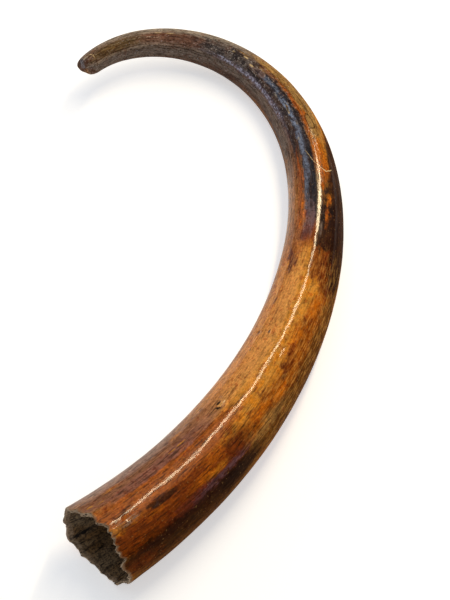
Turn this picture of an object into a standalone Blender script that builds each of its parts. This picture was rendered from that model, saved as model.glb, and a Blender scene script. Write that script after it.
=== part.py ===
"""Mammoth tusk, a fossil that grew as one piece, lying on its side.

Metres, +Z up.  The tusk is turned as a straight horn first: a tapering
outer wall, a broken root edge and the conical pulp hollow behind it.  Its
rings are then laid along a centre line that follows a growth rule (the
further from the root, the tighter the curl).  The root opens towards -X
and -Y, the tusk rests on its underside and the tip curls back clear of
the ground.
"""
import math

import bpy
import numpy as np

# Driving dimensions, metres and radians.
LENGTH = 1.050              # along the centre line, root edge to tip
ROOT_RADIUS = 0.0523        # outer radius at the root
TIP_RADIUS = 0.0136         # outer radius where the tip rounds over
BELLY = 0.0013              # extra radius half way along, over a plain cone
TIP_ROUNDING = 0.009        # length of the worn, rounded end
ROOT_HEADING = math.radians(37.0)   # direction of growth at the root, from +X
ROOT_CURL = 1.6             # curvature of the centre line at the root, 1/m
TIP_CURL = 7.7              # curvature gained on the way to the tip, 1/m
CURL_AT = 0.758             # share of the length where the curl tightens most
CURL_SPREAD = 0.082         # how gradually it tightens, share of the length
LIFT_FROM = 0.64            # share of the length where the tip leaves the floor
TIP_LIFT = 0.050            # height the tip has risen by at its end
REST_DEPTH = 0.0008         # depth of the worn flat the tusk rests on

RIM_WALL = 0.0045           # wall thickness at the broken root edge
PULP_DEPTH = 0.300          # depth of the pulp hollow
PULP_SWELL = 0.0025         # outward bow of the hollow, over a plain cone
RIM_FADE = 0.060            # distance from the edge over which its waves fade

AROUND = 48                 # steps around
OUTER_RINGS = 82            # rings on the outer wall
PULP_RINGS = 14             # rings in the hollow
TIP_RINGS = 5               # rings in the rounded end

# Waves of the broken edge: (waves around, height, where the first one starts).
# The single wave is its lean: the edge stands proud on the hollow of the curve.
RIM_WAVES = (
    (1, 0.0090, -3.04),
    (2, 0.0015, -2.97),
    (3, 0.0020, 0.96),
    (4, 0.0015, -0.58),
    (11, 0.0010, 0.60),
    (17, 0.0007, 2.10),
)
# Lengthwise flutes of the outer wall: (flutes around, depth, start).
FLUTES = ((2, 0.0007, 1.57), (3, 0.0005, 3.14), (7, 0.0003, 3.14))


def clear_scene():
    """Empty the file this script starts in."""
    for thing in list(bpy.data.objects):
        bpy.data.objects.remove(thing, do_unlink=True)


def tusk_material():
    """Mineral-stained fossil dentine under a thin coat of polish."""
    material = bpy.data.materials.new("fossil_dentine")
    material.use_nodes = True
    shader = material.node_tree.nodes["Principled BSDF"]
    shader.inputs["Base Color"].default_value = (0.20, 0.075, 0.020, 1.0)
    shader.inputs["Roughness"].default_value = 0.34
    shader.inputs["Metallic"].default_value = 0.0
    return material


def outer_radius(share):
    """Radius of the outer wall at a share (0 to 1) of the length."""
    return ROOT_RADIUS + (TIP_RADIUS - ROOT_RADIUS) * share + BELLY * 4 * share * (1 - share)


def half_profile():
    """Half section of the straight horn as (radius, height), tip to hollow."""
    points = [(0.0, LENGTH)]
    for ring in range(1, TIP_RINGS + 1):
        turn = math.pi / 2 * ring / TIP_RINGS
        height = LENGTH - TIP_ROUNDING * (1 - math.cos(turn))
        points.append((outer_radius(height / LENGTH) * math.sin(turn), height))
    start = LENGTH - TIP_ROUNDING
    for ring in range(1, OUTER_RINGS + 1):
        height = start * (1 - ring / OUTER_RINGS)
        points.append((outer_radius(height / LENGTH), height))
    mouth = ROOT_RADIUS - RIM_WALL
    for ring in range(PULP_RINGS):
        share = (ring / PULP_RINGS) ** 1.15
        radius = mouth * (1 - share) + PULP_SWELL * 4 * share * (1 - share)
        points.append((radius, PULP_DEPTH * share))
    points.append((0.0, PULP_DEPTH))
    return points


def turned_horn():
    """The straight horn: the half section spun about Z with a Screw modifier."""
    profile = bpy.data.meshes.new("half_section")
    points = [(radius, 0.0, height) for radius, height in half_profile()]
    edges = [(i, i + 1) for i in range(len(points) - 1)]
    profile.from_pydata(points, edges, [])
    horn = bpy.data.objects.new("straight_horn", profile)
    bpy.context.scene.collection.objects.link(horn)
    screw = horn.modifiers.new("turn", 'SCREW')
    screw.axis = 'Z'
    screw.angle = 2 * math.pi
    screw.steps = AROUND
    screw.render_steps = AROUND
    screw.use_merge_vertices = True
    screw.merge_threshold = 0.00001
    screw.use_smooth_shade = True
    view = bpy.context.evaluated_depsgraph_get()
    solid = bpy.data.meshes.new_from_object(horn.evaluated_get(view))
    bpy.data.objects.remove(horn, do_unlink=True)
    bpy.data.meshes.remove(profile)
    return solid


def wave_sum(waves, turn):
    """Sum of cosine waves around the horn."""
    return sum(height * np.cos(count * turn + start) for count, height, start in waves)


def heading(along):
    """Direction of growth: the curvature law added up along the centre line."""
    share = along / LENGTH
    gained = np.logaddexp(0.0, (share - CURL_AT) / CURL_SPREAD)
    gained = gained - np.logaddexp(0.0, -CURL_AT / CURL_SPREAD)
    return ROOT_HEADING + ROOT_CURL * along + TIP_CURL * LENGTH * CURL_SPREAD * gained


def centre_line(along):
    """Points of the centre line and its unit tangents, side and up vectors."""
    fine = np.linspace(-RIM_FADE, LENGTH + RIM_FADE, 4001)
    step = fine[1] - fine[0]
    middle = heading(0.5 * (fine[1:] + fine[:-1]))
    x = np.concatenate([[0.0], np.cumsum(np.cos(middle) * step)])
    y = np.concatenate([[0.0], np.cumsum(np.sin(middle) * step)])
    share = fine / LENGTH
    rise = TIP_LIFT * (np.clip(share - LIFT_FROM, 0.0, None) / (1 - LIFT_FROM)) ** 2
    z = outer_radius(share) + rise - REST_DEPTH
    line = np.stack([x, y, z], axis=1)
    slope = np.gradient(line, step, axis=0)
    point = np.stack([np.interp(along, fine, line[:, i]) for i in range(3)], axis=1)
    tangent = np.stack([np.interp(along, fine, slope[:, i]) for i in range(3)], axis=1)
    tangent /= np.linalg.norm(tangent, axis=1)[:, None]
    side = np.stack([-tangent[:, 1], tangent[:, 0], np.zeros(len(along))], axis=1)
    side /= np.linalg.norm(side, axis=1)[:, None]
    return point, side, np.cross(tangent, side)


def grow(mesh):
    """Wave the broken edge, flute the wall, and lay the horn along its curve."""
    spots = np.empty(len(mesh.vertices) * 3)
    mesh.vertices.foreach_get("co", spots)
    spots = spots.reshape(-1, 3)
    radius = np.hypot(spots[:, 0], spots[:, 1])
    turn = np.arctan2(spots[:, 1], spots[:, 0])
    along = spots[:, 2]
    near_edge = np.clip(1 - along / RIM_FADE, 0.0, 1.0) ** 2
    edge = wave_sum(RIM_WAVES, turn)
    fluted = radius + wave_sum(FLUTES, turn) * radius / outer_radius(along / LENGTH)
    point, side, up = centre_line(along + edge * near_edge)
    across = (fluted * np.cos(turn))[:, None] * side
    above = (fluted * np.sin(turn))[:, None] * up
    grown = point + across + above
    grown[:, 2] = np.maximum(grown[:, 2], 0.0)
    middle = 0.5 * (grown.min(axis=0) + grown.max(axis=0))
    grown[:, 0] -= middle[0]
    grown[:, 1] -= middle[1]
    mesh.vertices.foreach_set("co", grown.ravel())
    mesh.update()
    root = centre_line(np.zeros(1))[0][0]
    print("root centre x %.5f y %.5f" % (root[0] - middle[0], root[1] - middle[1]))


def build_tusk():
    """The one grown piece, as the node named tusk."""
    mesh = turned_horn()
    mesh.name = "tusk"
    grow(mesh)
    mesh.materials.clear()
    mesh.materials.append(tusk_material())
    mesh.polygons.foreach_set("use_smooth", [True] * len(mesh.polygons))
    return bpy.data.objects.new("tusk", mesh)


def main():
    clear_scene()
    group = bpy.data.collections.new("mammoth_tusk")
    bpy.context.scene.collection.children.link(group)
    group.objects.link(build_tusk())


main()
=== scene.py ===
# %% [markdown]
# # A mammoth tusk, laid on its side
# A tusk is a tooth that never stops growing.  It adds a cone of dentine at
# the root each season, so the piece tapers, curls more and more tightly,
# and keeps a hollow at the root where the pulp was.  This one was dug up,
# cleaned and oiled: minerals have stained it amber, chestnut and blue-black.
# One grown body means one mesh here, wearing three finishes.

# %% Frame
import math

import bpy
import numpy as np
from mathutils import Matrix, Vector


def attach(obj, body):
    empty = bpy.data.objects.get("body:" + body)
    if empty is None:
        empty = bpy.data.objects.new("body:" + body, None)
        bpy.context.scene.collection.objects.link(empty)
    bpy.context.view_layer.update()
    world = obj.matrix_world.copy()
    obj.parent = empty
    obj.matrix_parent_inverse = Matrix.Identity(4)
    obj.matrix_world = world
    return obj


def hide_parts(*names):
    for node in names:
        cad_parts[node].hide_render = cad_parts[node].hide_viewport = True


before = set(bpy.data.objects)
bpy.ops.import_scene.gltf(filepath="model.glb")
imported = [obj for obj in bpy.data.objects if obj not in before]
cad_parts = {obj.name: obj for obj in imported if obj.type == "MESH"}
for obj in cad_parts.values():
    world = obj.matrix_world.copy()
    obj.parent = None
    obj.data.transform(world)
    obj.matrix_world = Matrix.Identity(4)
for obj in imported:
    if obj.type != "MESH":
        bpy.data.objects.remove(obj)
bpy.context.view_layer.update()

# %% [markdown]
# ## Two helpers
# Artists pick colours as sRGB hex, but shaders count light, so one function
# turns the first into the second.  Every node below is added by one other
# function: its settings are the node's properties, and its values fill or
# link the inputs that are open, in order.

# %% Helpers


def linear(hex_colour):
    """An sRGB hex colour as the linear RGBA a shader wants."""
    parts = [int(hex_colour[i:i + 2], 16) / 255 for i in (1, 3, 5)]
    light = [p / 12.92 if p <= 0.04045 else ((p + 0.055) / 1.055) ** 2.4 for p in parts]
    return (*light, 1.0)


def add(tree, kind, *values, **settings):
    """Adds a node; values fill or link its open inputs, None leaves one alone."""
    node = tree.nodes.new(kind)
    for name, setting in settings.items():
        setattr(node, name, setting)
    sockets = [socket for socket in node.inputs if socket.enabled]
    for socket, value in zip(sockets, values):
        if isinstance(value, bpy.types.Node):
            value = next(out for out in value.outputs if out.enabled)
        if isinstance(value, bpy.types.NodeSocket):
            tree.links.new(value, socket)
        elif value is not None:
            socket.default_value = value
    return node


MATH, VECTOR, MAP, MIX = "ShaderNodeMath", "ShaderNodeVectorMath", "ShaderNodeMapRange", "ShaderNodeMix"
MM = 0.001

# %% [markdown]
# ## How the tusk grew
# These are the tusk's driving sizes.  The growth rule is short: the outer
# radius falls almost evenly from root to tip, and the curvature of the
# centre line starts small and rises towards the tip.  A modeller could bend
# a cone by hand, but a rule keeps the taper and the curl honest.

# %% Driving sizes
GROWTH = {
    "Length": 1.050,            # along the centre line
    "Root Radius": 0.0523,
    "Tip Radius": 0.0136,
    "Belly": 0.0013,            # extra radius half way, over a plain cone
    "Tip Rounding": 0.010,      # length of the worn end
    "Root Heading": math.radians(37.0),
    "Root Curl": 1.6,           # curvature at the root, 1/m
    "Tip Curl": 7.7,            # curvature gained towards the tip, 1/m
    "Curl At": 0.758,           # share of the length
    "Curl Spread": 0.082,       # share of the length
    "Lift From": 0.64,          # where the tip starts to leave the floor
    "Tip Lift": 0.050,
    "Rest Depth": 0.0008,       # depth of the worn flat underneath
    "Rim Wall": 0.0045,         # wall at the broken root edge
    "Pulp Depth": 0.300,
    "Pulp Swell": 0.0025,
    "Seed": 4.0,                # fourth coordinate of every noise
}
ROOT_AT = (-0.11193, -0.36181, 0.0)     # middle of the root edge on the floor plan
LINE_STEP = 0.0005                      # spacing of the points on the centre line

print("length", GROWTH["Length"], "root across", 2 * GROWTH["Root Radius"])

# %% [markdown]
# ## Rings of the mesh
# The skin is a stack of rings.  They follow one path, which starts at the
# deep end of the pulp hollow, turns over the broken edge, and runs along
# the outside to the tip.  The shares below say where each stretch ends.

# %% Rings
AROUND = 144                            # points in a ring
PULP_RINGS, EDGE_RINGS, WALL_RINGS, TIP_RINGS = 104, 12, 546, 14
RINGS = PULP_RINGS + EDGE_RINGS + WALL_RINGS + TIP_RINGS
HOLLOW_END = PULP_RINGS / RINGS
EDGE_END = (PULP_RINGS + EDGE_RINGS) / RINGS
WALL_END = 1 - TIP_RINGS / RINGS
RING_START, RING_GROWTH = 0.70, 0.30    # rings stand a little closer together at the root
PULP_CROWDING = 1.5                     # power that crowds the hollow's rings at its mouth
print("rings", RINGS, "of", AROUND, "points")

# %% [markdown]
# ## The broken root edge
# The root was snapped, not sawn.  Its edge leans, so it stands furthest out
# on the inside of the bend, and small shell-shaped bites make it scalloped.
# Each pair below is one corner of that edge: where it is around the tusk
# (0 degrees is the inside of the bend, 90 is the top) and how far the edge
# falls back towards the tip there, in millimetres.

# %% Edge of the root
EDGE = (
    (-90, 1.0), (-84, 0.0), (-77, -1.5), (-70, -4.0), (-64, -6.5), (-56, -6.0),
    (-50, -6.5), (-45, -9.0), (-40, -11.0), (-35, -11.0), (-28, -9.5), (-20, -7.0),
    (-13, -9.5), (-8, -10.0), (0, -6.5), (8, -7.5), (12, -6.0), (16, -3.0),
    (20, -5.5), (26, -7.5), (32, -7.5), (38, -6.5), (45, -8.0), (52, -7.0),
    (60, -3.5), (68, -3.5), (73, 0.5), (80, 3.5), (86, 3.5), (92, 3.0),
    (96, 7.5), (100, 8.0), (103, 10.0), (107, 6.5), (111, 9.0), (115, 5.5),
    (119, 8.5), (123, 5.0), (127, 7.0), (131, 3.5), (136, 5.5), (141, 4.5),
    (146, 8.5), (150, 4.5), (153, 2.5), (159, 4.5), (165, 5.5), (174, 7.5),
    (183, 6.5), (192, 9.0), (202, 7.5), (212, 9.0), (221, 8.5), (226, 6.5),
    (230, 2.5), (238, 4.0), (247, 2.0), (255, 2.5), (262, 0.5), (270, 1.0),
)
EDGE_FADE = 0.060           # the waves of the edge fade out over this length
print("root edge", len(EDGE), "corners")

# %% [markdown]
# ## The worn tip
# In life the tip was rubbed on the ground.  It ends blunt and a little
# slanted, and the outer side of the tip half is flatter than the rest.

# %% Wear of the tip
TIP_BLUNT = 0.28            # a power: 1 closes the tip as a half round, less is squarer
TIP_SLANT = 0.0092          # how much shorter the tip is on its low side
TIP_SLANT_AT = math.radians(-22.0)
SLANT_GROWS = (1.015, 1.048)            # metres along
WORN_DEPTH = 0.0018         # how much the outer side of the tip half is flattened
WORN_AT = math.radians(140.0)
WORN_BEGINS, WORN_FADES = (0.74, 0.86), (1.0, 1.04)
print("tip slant", TIP_SLANT / MM, "mm")

# %% [markdown]
# ## Sums, products and noise
# Long chains of Math nodes read more easily as sums and products.  Noise is
# drawn on the tusk pulled straight, in real millimetres, so that its grains
# can be narrow across the fibres and long along them.


# %% Sums, products and noise
def times(tree, *factors):
    """The product of several values."""
    product = factors[0]
    for factor in factors[1:]:
        product = add(tree, MATH, product, factor, operation="MULTIPLY")
    return product


def plus(tree, *terms):
    """The sum of several values."""
    total = terms[0]
    for term in terms[1:]:
        total = add(tree, MATH, total, term, operation="ADD")
    return total


def noise(tree, place, across_mm, along_mm, detail, shift, roughness=0.5, seed=GROWTH["Seed"]):
    """Noise from 0 to 1 with grains this wide and long; the shift keeps two noises apart."""
    spread = (1 / (across_mm * MM), 1 / (across_mm * MM), 1 / (along_mm * MM))
    moved = (shift, shift * 1.7, shift * 2.3)
    scaled = add(tree, VECTOR, place, spread, moved, operation="MULTIPLY_ADD")
    return add(tree, "ShaderNodeTexNoise", scaled, seed, 1.0, detail, roughness, noise_dimensions="4D")


# %% [markdown]
# ## Geometry Nodes: the centre line
# The outer radius is a cone with a little belly.  The heading turns slowly
# at first and fast towards the tip: its rule is a smooth step of curvature,
# added up along the length.


# %% Radius and heading
def outer_radius(tree, size, share):
    """Radius of the outer wall at a share (0 to 1) of the length."""
    cone = add(tree, MIX, share, size["Root Radius"], size["Tip Radius"], clamp_factor=False)
    rest = add(tree, MATH, 1.0, share, operation="SUBTRACT")
    bow = times(tree, share, rest, 4.0)
    return add(tree, MATH, bow, size["Belly"], cone, operation="MULTIPLY_ADD")


def soft_step_sum(tree, size, share):
    """The curl gained so far: the smooth step of the curvature, added up."""
    past = add(tree, MATH, share, size["Curl At"], operation="SUBTRACT")
    past = add(tree, MATH, past, size["Curl Spread"], operation="DIVIDE")
    power = add(tree, MATH, past, operation="EXPONENT")
    power = plus(tree, power, 1.0)
    return add(tree, MATH, power, math.e, operation="LOGARITHM")


def heading(tree, size, along):
    """Direction of growth at a length along the tusk, in radians."""
    share = add(tree, MATH, along, size["Length"], operation="DIVIDE")
    gained = add(tree, MATH, soft_step_sum(tree, size, share),
                 soft_step_sum(tree, size, 0.0), operation="SUBTRACT")
    reach = times(tree, size["Length"], size["Curl Spread"], size["Tip Curl"])
    turned = add(tree, MATH, along, size["Root Curl"], size["Root Heading"], operation="MULTIPLY_ADD")
    return add(tree, MATH, gained, reach, turned, operation="MULTIPLY_ADD")


# %% [markdown]
# ## Walking the line
# A Mesh Line gives the points, and Accumulate Field adds up their small
# steps, which is what growth does.  The height is the outer radius plus the
# lift of the tip, so the underside lies on the floor.


# %% Centre line
def centre_line(tree, size):
    """The points of the centre line, root to tip, as geometry."""
    count = add(tree, MATH, size["Length"], LINE_STEP, operation="DIVIDE")
    count = plus(tree, count, 1.0)
    points = add(tree, "GeometryNodeMeshLine", count)
    index = add(tree, "GeometryNodeInputIndex")
    along = times(tree, index, LINE_STEP)
    middle = plus(tree, along, LINE_STEP / 2)
    turn = heading(tree, size, middle)
    east = add(tree, MATH, turn, operation="COSINE")
    north = add(tree, MATH, turn, operation="SINE")
    step = add(tree, "ShaderNodeCombineXYZ", east, north, 0.0)
    step = add(tree, VECTOR, step, LINE_STEP, operation="SCALE")
    walked = add(tree, "GeometryNodeAccumulateField", step, data_type="FLOAT_VECTOR")
    share = add(tree, MATH, along, size["Length"], operation="DIVIDE")
    risen = add(tree, MAP, share, size["Lift From"], 1.0, 0.0, 1.0)
    risen = add(tree, MATH, risen, 2.0, operation="POWER")
    rise = add(tree, MATH, risen, size["Tip Lift"], outer_radius(tree, size, share), operation="MULTIPLY_ADD")
    rise = add(tree, MATH, rise, size["Rest Depth"], operation="SUBTRACT")
    height = add(tree, "ShaderNodeCombineXYZ", 0.0, 0.0, rise)
    place = add(tree, VECTOR, walked.outputs["Trailing"], height, operation="ADD")
    place = add(tree, VECTOR, place, ROOT_AT, operation="ADD")
    return add(tree, "GeometryNodeSetPosition", points, None, place)


# %% [markdown]
# ## Geometry Nodes: the wall around it
# A Mesh Cylinder is a ready-made closed skin, and the height of each point
# tells how far it is along the path of the rings.  Four Map Range nodes
# split that path, so no seams have to be welded afterwards.

# %% Path nodes
# Both ends stop just short of a point, which keeps their last rings open.
HOLLOW_STOP, TIP_STOP = 0.99, math.radians(88.0)


def path_parts(tree, travel):
    """Hollow 1 to 0, edge 0 to 1, wall 0 to 1 and tip 0 to a quarter turn."""
    hollow = add(tree, MAP, travel, 0.0, HOLLOW_END, HOLLOW_STOP, 0.0)
    edge = add(tree, MAP, travel, HOLLOW_END, EDGE_END, 0.0, 1.0)
    wall = add(tree, MAP, travel, EDGE_END, WALL_END, 0.0, 1.0)
    tip = add(tree, MAP, travel, WALL_END, 1.0, 0.0, TIP_STOP)
    return hollow, edge, wall, tip


def wall_shape(tree, size, travel):
    """Length along the tusk, radius there, the mask of the outside and the closing of the tip."""
    hollow, edge, wall, tip = path_parts(tree, travel)
    depth = add(tree, MATH, hollow, PULP_CROWDING, operation="POWER")
    into = times(tree, depth, size["Pulp Depth"])
    spread = add(tree, MATH, wall, RING_GROWTH, RING_START, operation="MULTIPLY_ADD")
    body = add(tree, MATH, size["Length"], size["Tip Rounding"], operation="SUBTRACT")
    out = times(tree, wall, spread, body)
    end = times(tree, add(tree, MATH, tip, operation="SINE"), size["Tip Rounding"])
    along = plus(tree, into, out, end)
    share = add(tree, MATH, along, size["Length"], operation="DIVIDE")
    outside = outer_radius(tree, size, share)
    mouth = add(tree, MATH, size["Root Radius"], size["Rim Wall"], operation="SUBTRACT")
    rest = add(tree, MATH, 1.0, depth, operation="SUBTRACT")
    swell = times(tree, depth, rest, 4.0, size["Pulp Swell"])
    inside = add(tree, MATH, mouth, rest, swell, operation="MULTIPLY_ADD")
    radius = add(tree, MIX, edge, inside, outside)
    closing = add(tree, MATH, tip, operation="COSINE")
    closing = add(tree, MATH, closing, TIP_BLUNT, operation="POWER")
    return along, times(tree, radius, closing), edge, closing


# %% [markdown]
# ## Flutes and the outline of the edge
# The wall isn't round: long shallow flutes run along it, one row of cosine
# waves for each size.  The corners of the broken edge become a Float Curve,
# which is the node for an outline that no formula gives.

# %% Flutes and edge
# Lengthwise flutes of the wall: (flutes around, depth in mm, start in radians).
FLUTES = ((2, 0.7, 1.57), (3, 0.5, 3.14), (7, 0.3, 3.14), (19, 0.05, 0.8), (31, 0.03, 2.2))


def flutes(tree, turn):
    """Height of the lengthwise flutes at a turn around the tusk."""
    waves = []
    for count, depth, start in FLUTES:
        angle = add(tree, MATH, turn, float(count), start, operation="MULTIPLY_ADD")
        wave = add(tree, MATH, angle, operation="COSINE")
        waves.append(times(tree, wave, depth * MM))
    return plus(tree, *waves)


def drawn_curve(tree, place, corners, handles='AUTO'):
    """The height at a place of a curve through corners of (place, height)."""
    first, last = corners[0][0], corners[-1][0]
    heights = [height for _, height in corners]
    low, high = min(heights), max(heights)
    share = add(tree, MAP, place, float(first), float(last), 0.0, 1.0)
    curve = add(tree, "ShaderNodeFloatCurve", 1.0, share)
    points = curve.mapping.curves[0].points
    spots = [((at - first) / (last - first), (height - low) / (high - low)) for at, height in corners]
    points[0].location = spots[0]
    points[1].location = spots[-1]
    for spot in spots[1:-1]:
        points.new(*spot)
    for point in points:
        point.handle_type = handles
    curve.mapping.update()
    return add(tree, MAP, curve, 0.0, 1.0, float(low), float(high))


def broken_edge(tree, turn):
    """How far the root edge falls back at a turn around the tusk, in metres."""
    degrees = add(tree, MATH, turn, operation="DEGREES")
    return times(tree, drawn_curve(tree, degrees, EDGE, 'AUTO_CLAMPED'), MM)


# %% [markdown]
# ## Setting the rings on the line
# The ring centres are read back from the centre line between its two nearest
# points, and the ring is set square to the line there, level on one side.


# %% Laying the skin on the line
def along_line(tree, size, line, along):
    """Point, side and up vectors of the centre line at a length along it."""
    place = add(tree, "GeometryNodeInputPosition")
    steps = add(tree, MATH, along, LINE_STEP, operation="DIVIDE")
    before = add(tree, MATH, steps, operation="FLOOR")
    before = add(tree, MATH, before, 0.0, operation="MAXIMUM")
    before = add(tree, MATH, before, GROWTH["Length"] / LINE_STEP - 1, operation="MINIMUM")
    after = plus(tree, before, 1.0)
    part = add(tree, MATH, steps, before, operation="SUBTRACT")
    ends = [add(tree, "GeometryNodeSampleIndex", line, place, end, data_type="FLOAT_VECTOR", clamp=True)
            for end in (before, after)]
    stride = add(tree, VECTOR, ends[1], ends[0], operation="SUBTRACT")
    point = add(tree, VECTOR, stride, part, operation="SCALE")
    point = add(tree, VECTOR, point, ends[0], operation="ADD")
    turn = heading(tree, size, along)
    west = times(tree, add(tree, MATH, turn, operation="SINE"), -1.0)
    side = add(tree, "ShaderNodeCombineXYZ", west, add(tree, MATH, turn, operation="COSINE"), 0.0)
    up = add(tree, VECTOR, stride, side, operation="CROSS_PRODUCT")
    up = add(tree, VECTOR, up, operation="NORMALIZE")
    return point, side, up


def pushed(tree, start, direction, distance):
    """start moved by distance along direction."""
    move = add(tree, VECTOR, direction, distance, operation="SCALE")
    return add(tree, VECTOR, start, move, operation="ADD")


# %% [markdown]
# ## Relief
# Everything wider than about two millimetres is real geometry, so that it
# shows in the outline too: the flutes, slow swellings of the wall, dents,
# the bites of the root edge, and the deep furrows of the pulp hollow.
# Finer grain is left to the finish.


# %% Dents
# Dents and lost flakes: (mm along, degrees around, mm long, degrees wide, mm deep).
DENTS = (
    (202, 75, 5.0, 4.5, 1.3), (210, 68, 3.0, 3.0, 0.8), (318, 72, 3.0, 3.5, 0.9),
    (320, 52, 3.0, 5.0, 0.8), (62, 113, 6.0, 2.0, 0.6), (84, 116, 9.0, 3.0, 0.5),
    (300, 104, 9.0, 3.0, 0.5), (471, 118, 5.0, 3.0, 0.6), (435, 128, 6.0, 4.0, 0.5),
    (556, 112, 5.0, 9.0, 0.6), (160, 143, 5.0, 3.0, 0.7), (420, 61, 5.0, 6.0, 0.6),
    (28, 107, 5.0, 4.0, 0.6), (35, 112, 3.0, 3.0, 0.6), (250, 205, 14.0, 8.0, 1.0),
    (390, 235, 10.0, 7.0, 0.9), (610, 5, 9.0, 12.0, 0.7), (140, -20, 16.0, 6.0, 0.9),
    (720, 185, 12.0, 12.0, 0.8), (930, 200, 7.0, 16.0, 0.6), (60, 215, 9.0, 6.0, 1.0),
)


def dents(tree, along, turn):
    """Depth of all the dents, in metres below the wall."""
    depths = []
    for middle, angle, length, width, deep in DENTS:
        far = add(tree, MATH, along, middle * MM, operation="SUBTRACT")
        far = add(tree, MATH, far, length * MM, operation="DIVIDE")
        wide = add(tree, MATH, turn, math.radians(angle), operation="SUBTRACT")
        wide = add(tree, MATH, wide, math.radians(width), operation="DIVIDE")
        far = add(tree, MATH, far, 2.0, operation="POWER")
        wide = add(tree, MATH, wide, 2.0, operation="POWER")
        away = add(tree, MATH, plus(tree, far, wide), operation="SQRT")
        depths.append(add(tree, MAP, away, 0.5, 1.2, deep * MM, 0.0, interpolation_type="SMOOTHSTEP"))
    return plus(tree, *depths)


# %% [markdown]
# ## Raised grain
# One table holds every raised noise with its real sizes, so that the height
# of a ripple or the length of a furrow can be changed in one place.

# %% Raised grain
# Millimetres across and along, detail, shift, and height in mm from lowest to highest.
RAISED = {
    "swelling": (55, 95, 2.0, 3.1, 1.3),
    "ripple": (7, 70, 2.0, 9.7, 0.24),
    "lump": (9, 16, 2.0, 5.3, 0.26),
    "furrow": (5, 42, 2.5, 13.0, 2.6),
    "crumb": (2.6, 3.2, 2.0, 17.0, 1.0),
    "tooth": (6, 30, 2.0, 41.0, 6.0),
    "crumble": (3.0, 3.0, 3.0, 43.0, 4.4),
}
# Grains that are cut out instead, where their noise is high.
BITE, BITE_DEPTH, BITE_REACH = (7, 7, 2.0, 21.0), 1.3 * MM, 7.0 * MM
SLIT, SLIT_DEPTH = (8, 60, 1.0, 31.0), 2.0 * MM
MOUTH_REACH = 8.0 * MM
HOLLOW_FADES = (0.20, 0.29)             # metres in


def raised(tree, straight, name, seed):
    """One raised noise as a height in metres, half of it up and half of it down."""
    across, along, detail, shift, height = RAISED[name]
    grain = noise(tree, straight, across, along, detail, shift, seed=seed)
    return add(tree, MATH, grain, height * MM, -0.5 * height * MM, operation="MULTIPLY_ADD")


# %% [markdown]
# ## Relief of the outside and of the hollow
# The outside is fluted and swollen, and has lost bites, flakes and a worn
# side.  The hollow is furrowed lengthwise, except where it narrows.


# %% Relief nodes
def worn_side(tree, along, turn):
    """How much is worn off the outer side of the tip half, in metres."""
    outward = add(tree, MATH, turn, WORN_AT, operation="SUBTRACT")
    outward = add(tree, MATH, outward, operation="COSINE")
    outward = add(tree, MATH, outward, 0.0, operation="MAXIMUM")
    begins = add(tree, MAP, along, *WORN_BEGINS, 0.0, 1.0)
    fades = add(tree, MAP, along, *WORN_FADES, 1.0, 0.4)
    return times(tree, outward, begins, fades, WORN_DEPTH)


def outside_relief(tree, straight, along, turn, seed):
    """Height of the outside over its smooth wall, in metres."""
    bites = noise(tree, straight, *BITE, seed=seed)
    bites = add(tree, MAP, bites, 0.42, 0.70, 0.0, BITE_DEPTH)
    bites = times(tree, bites, add(tree, MAP, along, 0.0, BITE_REACH, 1.0, 0.0))
    waves = [raised(tree, straight, name, seed) for name in ("swelling", "ripple", "lump")]
    lost = plus(tree, bites, dents(tree, along, turn), worn_side(tree, along, turn))
    return add(tree, MATH, plus(tree, flutes(tree, turn), *waves), lost, operation="SUBTRACT")


def hollow_relief(tree, straight, along, seed):
    """Height of the wall of the hollow, in metres."""
    slits = noise(tree, straight, *SLIT, seed=seed)
    slits = add(tree, MAP, slits, 0.60, 0.68, 0.0, SLIT_DEPTH)
    furrows = plus(tree, raised(tree, straight, "furrow", seed), slits)
    # the thin wall at the mouth has room for a quarter of the depth
    furrows = times(tree, furrows, add(tree, MAP, along, 0.0, MOUTH_REACH, 0.25, 1.0))
    rough = plus(tree, furrows, raised(tree, straight, "crumb", seed))
    return times(tree, rough, add(tree, MAP, along, *HOLLOW_FADES, 1.0, 0.0))


# %% [markdown]
# ## Broken root and slanted tip
# Both ends are shaped by sliding points along the tusk.  At the root the
# slide follows the corners of the edge, with finer teeth and crumbs on top,
# and fades out, so that the whole wall leans with the break.


# %% End nodes
def root_cut(tree, straight, along, turn, seed):
    """How far a point near the root slides towards the tip, in metres."""
    fade = add(tree, MAP, along, 0.0, EDGE_FADE, 1.0, 0.0)
    fade = add(tree, MATH, fade, 2.0, operation="POWER")
    sharp_fade = add(tree, MATH, fade, 8.0, operation="POWER")
    teeth = plus(tree, broken_edge(tree, turn), raised(tree, straight, "tooth", seed))
    crumbs = raised(tree, straight, "crumble", seed)
    return plus(tree, times(tree, teeth, fade), times(tree, crumbs, sharp_fade))


def tip_cut(tree, along, turn):
    """How far a point near the tip slides back, in metres."""
    slant = add(tree, MATH, turn, TIP_SLANT_AT, operation="SUBTRACT")
    slant = add(tree, MATH, slant, operation="COSINE")
    slant = add(tree, MATH, slant, 0.5, 0.5, operation="MULTIPLY_ADD")
    near_tip = add(tree, MAP, along, *SLANT_GROWS, 0.0, 1.0)
    return times(tree, slant, near_tip, TIP_SLANT)


# %% [markdown]
# ## The whole tree
# Each point of the cylinder gets a length and a turn, from them a radius and
# a height, and then its place beside the centre line.  The floor presses the
# underside flat.  Two attributes travel with the mesh: "straight", the point
# on a tusk pulled straight, and "travel", how far it is along the path.


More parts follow.
